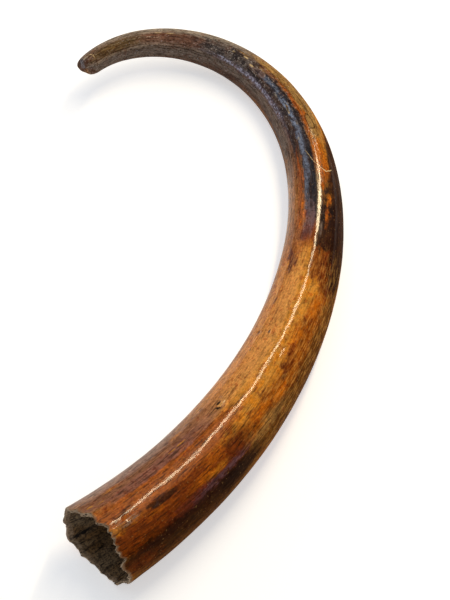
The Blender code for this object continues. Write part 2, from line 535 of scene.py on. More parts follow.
# %% Growth tree
def skin_places(tree, size, line):
    """The straightened point, how far it has travelled, and its place in the room."""
    start = add(tree, "ShaderNodeSeparateXYZ", add(tree, "GeometryNodeInputPosition"))
    rim_x, rim_y = start.outputs["X"], start.outputs["Y"]
    travel = plus(tree, start.outputs["Z"], 0.5)
    back = times(tree, rim_x, -1.0)
    turn = add(tree, MATH, back, rim_y, operation="ARCTAN2")
    turn = plus(tree, turn, math.pi / 2)
    along, radius, edge, closing = wall_shape(tree, size, travel)
    across = times(tree, rim_x, radius), times(tree, rim_y, radius)
    straight = add(tree, "ShaderNodeCombineXYZ", *across, along)

    seed = size["Seed"]
    outside = times(tree, outside_relief(tree, straight, along, turn, seed), closing)
    height = add(tree, MIX, edge, hollow_relief(tree, straight, along, seed), outside)
    radius = plus(tree, radius, height)
    slid = plus(tree, along, root_cut(tree, straight, along, turn, seed))
    slid = add(tree, MATH, slid, tip_cut(tree, along, turn), operation="SUBTRACT")
    point, side, up = along_line(tree, size, line, slid)
    place = pushed(tree, point, side, times(tree, rim_x, radius))
    place = pushed(tree, place, up, times(tree, rim_y, radius))
    lowest = (-10.0, -10.0, 0.0)        # only its height matters
    return straight, travel, add(tree, VECTOR, place, lowest, operation="MAXIMUM")


def growth_tree():
    """Geometry Nodes tree that grows the tusk from its named sizes, and its skin so far."""
    tree = bpy.data.node_groups.new("tusk growth", "GeometryNodeTree")
    tree.interface.new_socket("Geometry", in_out='OUTPUT', socket_type='NodeSocketGeometry')
    for name in GROWTH:
        tree.interface.new_socket(name, in_out='INPUT', socket_type='NodeSocketFloat')
    size = tree.nodes.new("NodeGroupInput").outputs
    line = centre_line(tree, size)
    skin = add(tree, "GeometryNodeMeshCylinder", AROUND, RINGS, 1, 1.0, 1.0, fill_type='TRIANGLE_FAN')
    straight, travel, place = skin_places(tree, size, line)
    skin = add(tree, "GeometryNodeStoreNamedAttribute", skin, None, "straight", straight,
               data_type='FLOAT_VECTOR', domain='POINT')
    skin = add(tree, "GeometryNodeStoreNamedAttribute", skin, None, "travel", travel,
               data_type='FLOAT', domain='POINT')
    return tree, add(tree, "GeometryNodeSetPosition", skin, None, place)


# %% [markdown]
# ## Ending the tree
# Each stretch of the path gets its own finish.  Realize Instances comes
# last, because only real geometry can be handed over.


# %% Finished skin
def between(tree, value, low, high):
    """1 where value lies between low and high."""
    above = add(tree, "FunctionNodeCompare", value, low, data_type='FLOAT', operation='GREATER_THAN')
    below = add(tree, "FunctionNodeCompare", value, high, data_type='FLOAT', operation='LESS_THAN')
    return add(tree, "FunctionNodeBooleanMath", above, below, operation='AND')


def finish_tree(tree, skin, finishes):
    """Sets each stretch's finish, and ends the tree with real, joined geometry."""
    place = add(tree, "GeometryNodeInputNamedAttribute", "travel", data_type='FLOAT')
    for material, low, high in finishes:
        chosen = between(tree, place, low, high)
        skin = add(tree, "GeometryNodeSetMaterial", skin, chosen, material)
    skin = add(tree, "GeometryNodeSetShadeSmooth", skin)
    skin = add(tree, "GeometryNodeRealizeInstances", skin)
    out = tree.nodes.new("NodeGroupOutput")
    tree.links.new(skin.outputs[0], out.inputs[0])


# %% [markdown]
# ## Straightened places
# Every pattern is drawn on the attribute "straight", so grain follows the
# curl as real fibres do.  Stains keep to the same terms: millimetres along
# and degrees around.


# %% Straight places
def straight_places(tree):
    """The straightened point, with mm along and degrees around from it."""
    straight = add(tree, "ShaderNodeAttribute", attribute_name="straight", attribute_type='GEOMETRY')
    place = straight.outputs["Vector"]
    parts = add(tree, "ShaderNodeSeparateXYZ", place)
    along = times(tree, parts.outputs["Z"], 1 / MM)
    back = times(tree, parts.outputs["X"], -1.0)
    turn = add(tree, MATH, back, parts.outputs["Y"], operation="ARCTAN2")
    turn = add(tree, MATH, turn, operation="DEGREES")
    turn = plus(tree, turn, 90.0)
    return place, along, turn


# %% [markdown]
# ## Painting
# Colour goes on in layers, as a model painter's does.  A mask says where
# each layer shows: a noise between two of its values, or a stretch of the
# tusk with soft ends.


# %% Painting helpers
def tint(tree, amount, below, above, blend='MIX'):
    """below, painted over with above by amount."""
    return add(tree, MIX, amount, below, above, data_type='RGBA', blend_type=blend).outputs[2]


def flecked(tree, colour, grain, none, full, amount, paint, *where, blend='MIX'):
    """colour painted by up to this amount, as the grain goes from none to full."""
    mask = times(tree, add(tree, MAP, grain, none, full, 0.0, amount), *where)
    return tint(tree, mask, colour, linear(paint), blend)


def stretch(tree, value, begins, full, fades, ends):
    """0 before begins, 1 from full to fades, and 0 past ends."""
    return times(tree, add(tree, MAP, value, begins, full, 0.0, 1.0),
                 add(tree, MAP, value, fades, ends, 1.0, 0.0))


# %% [markdown]
# ## A finish and its surface
# Every finish starts from the Principled node.  Its constants are set on
# the node itself.  Colour and bump are linked at the end.


# %% Finish helpers
def finish_of(name, roughness, coat=0.0, coat_roughness=0.1, specular=0.5):
    """A new material with its Principled node, whose constants are set here."""
    material = bpy.data.materials.new(name)
    material.use_nodes = True
    tree = material.node_tree
    skin = tree.nodes["Principled BSDF"]
    skin.inputs["Roughness"].default_value = roughness
    skin.inputs["Coat Weight"].default_value = coat
    skin.inputs["Coat Roughness"].default_value = coat_roughness
    skin.inputs["Specular IOR Level"].default_value = specular
    return material, tree, skin


BUMP_STRENGTH, BUMP_DEPTH = 0.80, 0.6 * MM


def surfaced(tree, skin, colour, height):
    """Links the colour and a bump of this height to the finish."""
    tree.links.new(colour, skin.inputs["Base Color"])
    bump = add(tree, "ShaderNodeBump", BUMP_STRENGTH, BUMP_DEPTH)
    tree.links.new(height, bump.inputs["Height"])
    tree.links.new(bump.outputs[0], skin.inputs["Normal"])


def grains_of(tree, place, table):
    """The noises of a table, by name."""
    return {name: noise(tree, place, *sizes).outputs[0] for name, sizes in table.items()}


# %% [markdown]
# ## One stain
# Each stain is the same small node group: a soft oval, rather square at its
# corners, painted over the colour below.  A group is built once and used
# for every stain and every painted sheen or highlight, which keeps the material short.

# %% Oval stain
OVAL_POWER = 2.6            # 2 is a plain oval, more is squarer
OVAL_SIZES = ("Middle", "Angle", "Half Length", "Half Turn", "Softness", "Strength")


def oval_group():
    """Node group: one stain with a soft oval outline, painted over a colour."""
    group = bpy.data.node_groups.new("oval stain or painted sheen", "ShaderNodeTree")
    for name in ("Along", "Turn", *OVAL_SIZES):
        group.interface.new_socket(name, in_out='INPUT', socket_type='NodeSocketFloat')
    for name in ("Below", "Stain"):
        group.interface.new_socket(name, in_out='INPUT', socket_type='NodeSocketColor')
    group.interface.new_socket("Colour", in_out='OUTPUT', socket_type='NodeSocketColor')
    inputs = group.nodes.new("NodeGroupInput").outputs
    parts = []
    for value, middle, half in (("Along", "Middle", "Half Length"), ("Turn", "Angle", "Half Turn")):
        far = add(group, MATH, inputs[value], inputs[middle], operation="SUBTRACT")
        far = add(group, MATH, far, inputs[half], operation="DIVIDE")
        far = add(group, MATH, far, operation="ABSOLUTE")
        parts.append(add(group, MATH, far, OVAL_POWER, operation="POWER"))
    away = add(group, MATH, plus(group, *parts), 1 / OVAL_POWER, operation="POWER")
    inner = add(group, MATH, 1.0, inputs["Softness"], operation="SUBTRACT")
    outer = plus(group, 1.0, inputs["Softness"])
    mask = add(group, MAP, away, inner, outer, 1.0, 0.0, interpolation_type="SMOOTHSTEP")
    mask = times(group, mask, inputs["Strength"])
    out = group.nodes.new("NodeGroupOutput")
    group.links.new(tint(group, mask, inputs["Below"], inputs["Stain"]), out.inputs["Colour"])
    return group


OVAL = oval_group()


def stained(tree, colour, along, turn, stains):
    """colour with each stain, painted sheen or highlight of the list painted over it, in order."""
    one_by_one = [(name, hue, oval) for name, hue, *ovals in stains for oval in ovals]
    for name, hue, oval in one_by_one:
        node = add(tree, "ShaderNodeGroup", node_tree=OVAL, label=name)
        tree.links.new(along, node.inputs["Along"])
        tree.links.new(turn, node.inputs["Turn"])
        tree.links.new(colour, node.inputs["Below"])
        for socket, value in zip(OVAL_SIZES, oval):
            node.inputs[socket].default_value = value
        node.inputs["Stain"].default_value = linear(HUES[hue])
        colour = node.outputs["Colour"]
    return colour


# %% [markdown]
# ## Colours of fossil dentine
# Ground water carried iron into the fibres, which gives honey, amber and
# chestnut, and iron phosphate, which gives the blue-black.  These are the
# colours of all the stains, and of the sheens and highlights painted among them.

# %% Stain palette
HUES = {
    "honey": "#de8a22",
    "gold": "#d8963c",
    "salmon": "#e09450",
    "amber": "#b8600a",
    "rust": "#a8561f",
    "cinnamon": "#92644a",
    "chestnut": "#7a3408",
    "russet": "#8a420e",
    "oxblood": "#4c1c0c",
    "bark": "#4e2e24",
    "ember": "#d87410",
    "sienna": "#5e340a",
    "umber": "#2e1405",
    "coffee": "#46230b",
    "taupe": "#726359",
    "mushroom": "#96786a",
    "khaki": "#a8834c",
    "olive": "#5e4a2e",
    "slate": "#2c2e36",
    "steel": "#8696b6",
    "lavender": "#8a859a",
    "plum": "#562830",
    "soot": "#17110f",
    "rosewood": "#945e5c",
    "walnut": "#765040",
    "brick": "#a87048",
    "mauve": "#7c6872",
    "smoke": "#6c6462",
    "frost": "#9aa2b0",
    "burnt": "#9c4e08",
    "cream": "#ecd09c",
    "tan": "#f0b86c",
    "ash": "#aaa092",
}
print("stain colours", len(HUES))

# %% [markdown]
# ## Stains of the root third
# Each stain is listed, and later ones lie over earlier ones.  The
# root lay deepest in iron-rich earth: rust along the crest, chestnut and
# umber on the outer flank, and a greyer inner face.  The lower inner face
# is paler from a painted reflection, and the flank carries a painted glint.

# %% Root stains
# Name, hue, and for each oval: mm along, degrees around, half length, half turn, softness, strength.
ROOT_STAINS_AND_SHEENS = (
    ("root shoulder", "chestnut", (88, 134, 116, 25, 0.25, 0.96)),
    ("root outer flank", "umber", (92, 162, 118, 20, 0.3, 0.95)),
    ("root outer edge", "chestnut", (20, 168, 26, 12, 0.5, 0.6)),
    ("root crest", "rust", (86, 95, 122, 17, 0.2, 0.85)),
    ("root inner face", "cinnamon", (106, 65, 124, 17, 0.18, 0.94)),
    # pale grey on the lower inner face: a painted reflection
    ("root lower inner face", "mushroom", (72, 36, 122, 17, 0.45, 0.9)),
    ("root inner underside", "coffee", (70, -8, 150, 28, 0.6, 0.8)),
    ("root outer underside", "sienna", (90, 214, 150, 42, 0.3, 0.92)),
    ("floor side", "sienna", (500, 258, 540, 34, 0.4, 0.75)),
    ("floor side, past the seam", "sienna", (500, -84, 540, 52, 0.35, 0.75)),
    ("rosy blush", "rosewood", (110, 76, 100, 8, 0.6, 0.4)),
    # a mauve streak on the dark outer flank: a painted glint
    ("flank glint", "mauve", (146, 142, 34, 3.2, 0.7, 0.5)),
    ("flank plum", "plum", (128, 140, 54, 5, 0.7, 0.45)),
    ("root ember", "ember", (126, 127, 16, 5, 0.8, 0.55), (148, 118, 14, 5, 0.8, 0.5),
     (60, 121, 16, 4, 0.8, 0.4)),
)

# %% [markdown]
# ## Stains of the golden third
# The middle was handled most, and its honey colour shows, broken by red
# mottles and glowing spots on the outer flank.

# %% Golden stains
GOLDEN_STAINS_AND_SHEENS = (
    ("amber flank", "burnt", (312, 134, 112, 17, 0.35, 0.88)),
    ("outer underside", "russet", (320, 214, 140, 44, 0.35, 0.85)),
    ("brown outer flank", "sienna", (312, 163, 116, 20, 0.35, 0.9)),
    ("khaki streak", "khaki", (224, 146, 34, 8, 0.6, 0.5)),
    # paler tan along the inner crest: partly the dentine's own colour, partly a painted sheen
    ("pale crest", "tan", (320, 76, 120, 11, 0.5, 0.5)),
    ("golden shade", "sienna", (250, 182, 30, 16, 0.6, 0.6)),
    ("golden shade", "umber", (360, 226, 44, 16, 0.6, 0.7)),
    ("golden ember", "ember", (226, 126, 16, 6, 0.4, 0.75), (262, 134, 14, 6, 0.4, 0.7),
     (330, 114, 22, 7, 0.4, 0.65), (372, 124, 18, 7, 0.4, 0.65)),
    ("red mottle", "chestnut", (294, 124, 9, 5, 0.3, 0.8), (308, 117, 8, 4, 0.3, 0.75),
     (346, 128, 12, 4, 0.3, 0.75), (244, 118, 9, 4, 0.3, 0.65)),
    ("salmon mottle", "cinnamon", (300, 56, 26, 6, 0.8, 0.45), (352, 66, 16, 4, 0.8, 0.45)),
    ("plum mottle", "plum", (372, 54, 12, 3, 0.8, 0.6), (432, 58, 16, 6, 0.8, 0.7)),
    ("salmon inner face", "salmon", (330, 55, 135, 28, 0.4, 0.85)),
    ("inner underside", "chestnut", (330, -4, 150, 34, 0.6, 0.8)),
)

# %% [markdown]
# ## Stains of the dark collar
# A dark ring with a crisp front edge shows how deep the tusk once lay in
# wet ground.

# %% Collar stains
COLLAR_STAINS = (
    ("collar blush", "chestnut", (434, 138, 34, 24, 0.2, 0.88)),
    ("collar blush top", "chestnut", (444, 112, 30, 20, 0.18, 0.82)),
    ("collar", "umber", (496, 116, 38, 34, 0.12, 0.95)),
    ("collar outer flank", "umber", (530, 152, 128, 28, 0.2, 0.96)),
    ("mottled brown", "umber", (543, 118, 44, 28, 0.25, 0.7)),
    ("inner collar", "rust", (474, 54, 44, 26, 0.25, 0.6)),
    ("collar bridge", "rust", (486, 84, 30, 12, 0.35, 0.7)),
    ("inner brown", "brick", (540, 42, 84, 28, 0.3, 0.85)),
    ("inner red brown", "rust", (545, 58, 56, 8, 0.4, 0.65)),
    ("inner brown fade", "cinnamon", (628, 44, 40, 20, 0.5, 0.85)),
    ("inner plum mottle", "plum", (436, 60, 14, 7, 0.7, 0.85), (452, 50, 9, 5, 0.7, 0.75)),
)

# %% [markdown]
# ## Stains of the tip half
# The tip half is weathered taupe, with a blue-black band of iron phosphate
# on its inner crest, and a khaki one on the outer crest.

# %% Tip stains
TIP_STAINS_AND_SHEENS = (
    ("weathered tip half", "taupe", (950, 90, 190, 200, 0.22, 0.92)),
    ("char", "soot", (508, 108, 9, 4, 0.8, 0.8), (522, 124, 12, 4, 0.8, 0.75)),
    ("char", "umber", (534, 104, 8, 4, 0.8, 0.8)),
    ("char", "soot", (553, 112, 5, 7, 0.7, 0.85)),
    ("char", "umber", (566, 122, 12, 4, 0.8, 0.75), (570, 104, 8, 3, 0.8, 0.7)),
    ("glow", "ember", (514, 116, 10, 4, 0.7, 0.6), (540, 119, 8, 4, 0.7, 0.75), (560, 104, 9, 4, 0.7, 0.8),
     (582, 112, 10, 6, 0.7, 0.75)),
    ("khaki crest", "khaki", (722, 114, 84, 26, 0.22, 0.95)),
    ("khaki glow", "amber", (678, 106, 14, 6, 0.7, 0.85), (708, 100, 16, 5, 0.7, 0.8)),
    ("khaki shade", "coffee", (742, 104, 22, 5, 0.8, 0.65), (700, 122, 12, 5, 0.8, 0.55)),
    ("khaki shade", "bark", (775, 98, 20, 5, 0.8, 0.7)),
    ("taupe inner face", "taupe", (770, 24, 170, 26, 0.3, 0.95)),
    ("taupe outer flank", "coffee", (760, 160, 130, 18, 0.4, 0.8)),
    ("mid outer underside", "coffee", (520, 222, 90, 34, 0.4, 0.85)),
    ("far outer underside", "bark", (800, 212, 270, 40, 0.3, 0.9)),
    ("far inner underside", "coffee", (800, -22, 280, 34, 0.4, 0.8)),
    ("dark crest side", "cinnamon", (735, 93, 110, 9, 0.35, 0.8)),
    ("blue band", "slate", (660, 78, 165, 14, 0.22, 0.97)),
    ("band shoulder", "slate", (572, 90, 66, 8, 0.35, 0.95)),
    ("black band", "slate", (712, 56, 125, 10, 0.35, 0.9)),
    # the steel-blue heart of the band: partly the blue of iron phosphate, partly a painted sheen
    ("blue heart", "steel", (705, 75, 66, 7, 0.7, 0.9)),
    ("blue heart end", "steel", (610, 73, 60, 4, 0.8, 0.55)),
    # a pale lavender line on the inner side: a painted sheen
    ("lavender sheen", "lavender", (765, 45, 84, 8, 0.8, 0.75)),
    ("purple start", "mauve", (506, 78, 26, 10, 0.35, 0.55)),
    ("purple edge", "plum", (478, 72, 12, 9, 0.6, 0.7)),
    ("rust strip", "rust", (600, 56, 24, 4, 0.5, 0.85)),
    # the dark saddle on the inner crest: a real dark stain, painted lighter and greyer as sheen
    ("black saddle", "smoke", (838, 80, 50, 34, 0.25, 0.85)),
    ("saddle mottle", "soot", (826, 74, 16, 8, 0.6, 0.55), (858, 66, 12, 7, 0.6, 0.5)),
    ("saddle start", "mushroom", (784, 79, 13, 9, 0.4, 0.6)),
    ("brown tip", "walnut", (912, 66, 44, 38, 0.25, 0.8)),
    # lighter grey along the tip's crest: a painted sheen
    ("tip crest", "ash", (925, 100, 70, 13, 0.6, 0.55)),
    ("pale tip underside", "ash", (985, 14, 110, 34, 0.5, 0.42)),
    ("olive tip", "olive", (1000, 60, 44, 26, 0.3, 0.85)),
    ("golden tip patch", "khaki", (1008, 63, 14, 9, 0.6, 0.18)),
    ("taupe tip side", "taupe", (960, 10, 110, 20, 0.4, 0.9)),
    # pale grey along the upper outer side of the tip: a painted grazing reflection
    ("pale outer tip side", "ash", (915, 122, 105, 18, 0.4, 0.7)),
    ("tip end", "bark", (1048, 112, 8, 46, 0.4, 0.6)),
)
WIDE_STAINS_AND_SHEENS = ROOT_STAINS_AND_SHEENS + GOLDEN_STAINS_AND_SHEENS + COLLAR_STAINS + TIP_STAINS_AND_SHEENS
print("wide stains", sum(len(row) - 2 for row in WIDE_STAINS_AND_SHEENS))

# %% [markdown]
# ## Small marks
# Flecks, pits, scuffs and chips keep their shape better: their places are
# warped a fifth as much as those of the wide stains.

# %% Small stains
SMALL_MARKS_AND_HIGHLIGHTS = (
    ("orange patch", "honey", (142, 133, 15, 4, 0.6, 0.5)),
    ("dark red shade", "oxblood", (182, 125, 15, 14, 0.8, 0.32)),
    ("darkest flank", "soot", (168, 160, 34, 10, 0.6, 0.6)),
    ("dark patch edge", "soot", (76, 114, 18, 4.4, 0.15, 0.55)),
    ("dark patch", "coffee", (76, 114, 16, 3.6, 0.3, 0.8)),
    ("dark patch tail", "soot", (57, 111, 5, 1.4, 0.5, 0.7)),
    ("scuff", "ash", (30, 108, 9, 0.9, 0.8, 0.45), (24, 113, 6, 0.9, 0.8, 0.45), (36, 111, 5, 0.8, 0.8, 0.4)),
    ("gold fleck", "gold", (10, 68, 3, 0.9, 0.4, 0.9), (21, 70, 4, 0.7, 0.4, 0.6),
     (120, 74, 5, 1.1, 0.4, 0.8), (135, 74, 6, 1.0, 0.4, 0.8)),
    ("orange spot", "honey", (40, 60, 9, 3.0, 0.6, 0.5), (140, 55, 9, 3.0, 0.6, 0.5)),
    ("scale edge", "umber", (668, 113, 13, 9, 0.1, 0.85)),
    ("scale", "khaki", (668, 113, 11, 7, 0.15, 0.85)),
    # a pale cream streak along the crest: a painted highlight that widens the lamp's line
    ("rubbed crest", "cream", (548, 96, 62, 3.6, 0.6, 0.34)),
    ("chip", "tan", (203, 75, 3.6, 1.6, 0.4, 0.9)),
    ("chip end", "cream", (208, 76.5, 2.2, 1.0, 0.4, 0.9)),
    ("golden glow", "tan", (320, 73, 120, 14, 0.6, 0.12)),
    ("chip pit", "soot", (197, 76.5, 2.6, 1.6, 0.4, 0.98), (204, 71.5, 3.4, 1.4, 0.4, 0.98)),
    ("grey blot", "olive", (278, 127, 5, 3, 0.5, 0.45)),
    ("brown fleck", "coffee", (352, 118, 5, 3, 0.7, 0.5)),
    ("grey pit", "slate", (320, 72, 2.4, 1.4, 0.5, 0.85), (320, 52, 2.4, 2.0, 0.5, 0.8),
     (290, 58, 2.0, 2.0, 0.5, 0.7)),
    ("purple spot", "plum", (428, 58, 9, 4, 0.6, 0.85), (372, 55, 6, 3, 0.6, 0.8),
     (447, 52, 5, 4, 0.6, 0.75), (513, 70, 6, 4, 0.6, 0.8), (432, 68, 6, 3, 0.6, 0.75)),
    ("grey patch", "taupe", (490, 103, 10, 3, 0.5, 0.85)),
    ("amber window", "amber", (604, 109, 34, 16, 0.3, 0.75)),
    ("orange hem", "amber", (690, 99, 60, 4, 0.6, 0.8)),
    ("cream spot", "cream", (693, 72, 5, 2.4, 0.4, 0.95)),
    ("cream edge", "khaki", (812, 98, 10, 4, 0.6, 0.8), (778, 88, 8, 3, 0.6, 0.7)),
    ("tan speck", "cream", (915, 84, 5, 3, 0.6, 0.5), (930, 88, 4, 3, 0.6, 0.5)),
    ("tip crease", "umber", (900, 30, 48, 2.0, 0.6, 0.7)),
    # the worn facet at the tip's end: paler dentine (ash), with a bluish painted glint (frost)
    ("tip facet", "ash", (1043, 106, 3.5, 9, 0.6, 0.55)),
    ("tip facet", "frost", (1047, 120, 3, 14, 0.6, 0.5)),
    ("red spark", "ember", (512, 67, 7, 3.0, 0.7, 0.7), (531, 62, 8, 3.0, 0.7, 0.65),
     (498, 60, 6, 3.0, 0.7, 0.6)),
    ("pale nick", "ash", (641, 70, 3.0, 2.0, 0.5, 0.8), (668, 79, 3.0, 2.0, 0.5, 0.8),
     (728, 66, 4.0, 2.4, 0.5, 0.8)),
    ("pale nick", "cream", (792, 76, 4.0, 2.8, 0.5, 0.8), (806, 88, 4.0, 3.2, 0.5, 0.8),
     (824, 84, 3.0, 3.0, 0.5, 0.7)),
    ("cream spot", "cream", (701, 75, 3.0, 2.2, 0.4, 0.9)),
    ("tip crease end", "umber", (985, 38, 34, 2.4, 0.6, 0.65)),
)
print("small stains", sum(len(row) - 2 for row in SMALL_MARKS_AND_HIGHLIGHTS))

# %% [markdown]
# ## Hairline cracks
# A crack is a line of lengths over turns, drawn by a Float Curve.  Crossing
# the fibres, it can't be made by stretched noise.

# %% Cracks
# Hue, half width in mm, corners of (degrees around, mm along).
CRACKS = (
    # the long pale crack over the crest
    ("cream", 0.7, ((78, 618), (82, 611), (86, 605), (92, 597), (100, 590), (110, 585),
                    (120, 583), (132, 588))),
    # a crack and a scratch at the tip
    ("cream", 0.5, ((66, 1041), (78, 1036), (92, 1035), (104, 1040))),
    ("cream", 0.4, ((88, 1024), (93, 1033), (102, 1042), (116, 1047))),
    # a scratch on the inner face
    ("mushroom", 0.8, ((45, 530), (49, 517), (52, 508))),
)
CRACK_END = 2.0             # degrees over which a crack begins and ends


def cracked(tree, colour, along, turn, cracks):
    """colour with hairline cracks, each a line of mm along over degrees around."""
    for hue, half_width, corners in cracks:
        first, last = corners[0][0], corners[-1][0]
        off = add(tree, MATH, along, drawn_curve(tree, turn, corners), operation="SUBTRACT")
        off = add(tree, MATH, off, operation="ABSOLUTE")
        inside = stretch(tree, turn, first - CRACK_END, first + CRACK_END, last - CRACK_END, last + CRACK_END)
        colour = flecked(tree, colour, off, 1.3 * half_width, 0.3 * half_width, 1.0, HUES[hue], inside)
    return colour


# %% [markdown]
# ## Grain of the polished dentine
# Dentine is a bundle of long fibres, and the eye knows it by them.  Each
# noise below is one thing seen on it, with its real size.  Fibres are under
# 1 mm across, which neither a baked map nor a render would show, so they
# are drawn at 1.9 mm.

# %% Dentine grain
# Millimetres across and along, detail, shift, roughness.
DENTINE_GRAINS = {
    "fibre": (1.9, 13, 4.0, 1.0, 0.65),
    "broad fibre": (5, 90, 2.0, 2.0, 0.5),
    "mottle": (7, 11, 4.0, 3.0, 0.62),
    "cloud": (34, 60, 3.0, 4.0, 0.5),
    "grit": (1.8, 2.6, 2.0, 5.0, 0.5),
    "patch": (2.4, 3.2, 4.0, 12.0, 0.65),
    "iron spot": (5.5, 7.5, 5.0, 14.0, 0.72),
    "open fibre": (1.7, 22, 3.0, 11.0, 0.6),
}
# How far each grain moves the stains: mm along, then degrees around.
SHIFTS = {"fibre": 26.0, "cloud": 40.0, "mottle": 44.0}
SWINGS = {"broad fibre": 16.0, "mottle": 20.0, "fibre": 9.0}
SMALL_SHIFT, SMALL_SWING = 0.20, 0.22   # share of that for the small stains


def swung(tree, grain, sizes):
    """The named noises as one shift, each plus or minus half its size."""
    return plus(tree, *[add(tree, MATH, grain[name], size, -0.5 * size, operation="MULTIPLY_ADD")
                        for name, size in sizes.items()])


# %% [markdown]
# ## Stains feathered along the grain
# The places are warped by the fibres before the stains are looked up, so a
# stain feathers out along the grain instead of ending in a clean curve.


# %% Stained dentine
def stained_dentine(tree, grain, along, turn):
    """The stained colour, with the places that the small stains were drawn on."""
    shift, swing = swung(tree, grain, SHIFTS), swung(tree, grain, SWINGS)
    wide_along = plus(tree, along, shift)
    wide_turn = plus(tree, turn, swing)
    near_along = plus(tree, along, times(tree, shift, SMALL_SHIFT))
    near_turn = plus(tree, turn, times(tree, swing, SMALL_SWING))
    colour = linear(HUES["honey"])
    colour = flecked(tree, colour, grain["mottle"], 0.40, 0.60, 1.0, HUES["gold"])
    colour = stained(tree, colour, wide_along.outputs[0], wide_turn.outputs[0], WIDE_STAINS_AND_SHEENS)
    colour = stained(tree, colour, near_along.outputs[0], near_turn.outputs[0], SMALL_MARKS_AND_HIGHLIGHTS)
    return colour, wide_turn, near_along, near_turn


# %% [markdown]
# ## Light and dark fibres
# Dentine reads as fibre because it is darker in the grain and lighter
# between.  The tip half is weathered, so its fibres stand out more.


# %% Fibres
def fibred(tree, colour, grain, along):
    """colour made lighter and darker by the fibres, the mottles and the patches."""
    fibres = add(tree, MAP, grain["fibre"], 0.32, 0.68, -1.15, 0.75)
    weathered = plus(tree, add(tree, MAP, along, 540.0, 640.0, 0.34, 0.38),
                     add(tree, MAP, along, 850.0, 930.0, 0.0, 0.12))
    value = add(tree, MATH, fibres, weathered, 1.0, operation="MULTIPLY_ADD")
    value = times(tree, value, add(tree, MAP, grain["mottle"], 0.34, 0.66, 1.14, 0.84),
                  add(tree, MAP, grain["patch"], 0.38, 0.62, 0.80, 1.22))
    colour = add(tree, "ShaderNodeHueSaturation", 0.5, 1.0, value, 1.0, colour)
    colour = flecked(tree, colour, grain["mottle"], 0.56, 0.68, 0.25, "#a8683c", blend='MULTIPLY')
    # the bright fibres of the golden third are yellower
    golden = stretch(tree, along, 200.0, 240.0, 430.0, 470.0)
    return flecked(tree, colour, grain["fibre"], 0.48, 0.64, 0.50, "#dca04c", golden)


# %% [markdown]
# ## Islands, spots and dirt
# Where the tip half begins, the old surface survives as smooth dark islands.
# The pale flecks among them are partly painted sheen, and a line of fine
# lavender flecks below them is a painted highlight.  Iron left crisp ragged
# spots.  Dirt sits in the open fibres, most of all at the root, and small
# chips show paler dentine.


# %% Islands, spots and dirt
def islands(tree, colour, grain, along, turn, wide_turn, near_turn):
    """Dark islands, pale flecks partly painted as sheen, and a painted highlight of fine lavender flecks
    below them.
    """
    saddle = times(tree, stretch(tree, along, 610.0, 690.0, 850.0, 920.0),
                   add(tree, MAP, turn, 36.0, 56.0, 0.0, 1.0),
                   add(tree, MAP, wide_turn, 96.0, 106.0, 1.0, 0.0))
    colour = flecked(tree, colour, grain["mottle"], 0.52, 0.47, 0.78, "#1e1a1e", saddle)
    # pale flecks on the islands: partly the old surface, partly painted sheen
    colour = flecked(tree, colour, grain["patch"], 0.57, 0.61, 0.66, "#a39a96", saddle)
    # a line of fine lavender flecks: a painted highlight, broken by the grain
    band = times(tree, stretch(tree, near_turn, 38.0, 42.0, 48.0, 52.0),
                 stretch(tree, along, 680.0, 700.0, 830.0, 860.0))
    return flecked(tree, colour, grain["patch"], 0.49, 0.54, 0.85, "#aeb0ca", band)


def dirtied(tree, colour, grain, along):
    """Iron spots, dirt in the open fibres, dark dots and pale chips."""
    colour = flecked(tree, colour, grain["iron spot"], 0.55, 0.585, 0.50, "#b8642c", blend='MULTIPLY')
    root = add(tree, MAP, along, 190.0, 260.0, 1.0, 0.45)
    past_collar = add(tree, MAP, along, 430.0, 520.0, 0.0, 0.45)
    colour = flecked(tree, colour, grain["open fibre"], 0.53, 0.62, 0.72, "#2a160a",
                     plus(tree, root, past_collar))
    colour = flecked(tree, colour, grain["grit"], 0.57, 0.66, 0.75, "#1e120a",
                     add(tree, MAP, along, 480.0, 560.0, 0.28, 1.0))
    chips = times(tree, add(tree, MAP, grain["grit"], 0.36, 0.28, 0.0, 1.0),
                  add(tree, MAP, along, 600.0, 800.0, 0.30, 0.70))
    weathered = add(tree, MAP, along, 560.0, 640.0, 0.0, 1.0)
    return tint(tree, chips, colour, tint(tree, weathered, linear("#c89858"), linear("#aaa2a6")))


# %% [markdown]
# ## Gloss
# Oil and hands gave the crest its shine.  It lies on top of the dentine as
# a thin coat, which is why the dentine itself has no shine of its own.


# %% Gloss
def gloss(tree, grain, along, turn):
    """How shiny the coat is."""
    fibres = add(tree, MAP, grain["fibre"], 0.30, 0.60, 0.14, 0.50)
    # hands reach the crest more than the flank that lay in the ground
    handled = add(tree, MAP, turn, 112.0, 142.0, 1.0, 0.12)
    # the collar is the shiniest, and the weathered tip half shines less
    collar = add(tree, MAP, along, 440.0, 500.0, 1.0, 1.5)
    tip_half = add(tree, MAP, along, 575.0, 625.0, 1.0, 0.34)
    tip = add(tree, MAP, along, 830.0, 900.0, 1.0, 0.60)
    return times(tree, fibres, handled, collar, tip_half, tip)


# %% [markdown]
# ## Polished fossil dentine
# All of it together: long fibres, feathered stains and a thin oiled shine
# over a surface that is otherwise half matt.


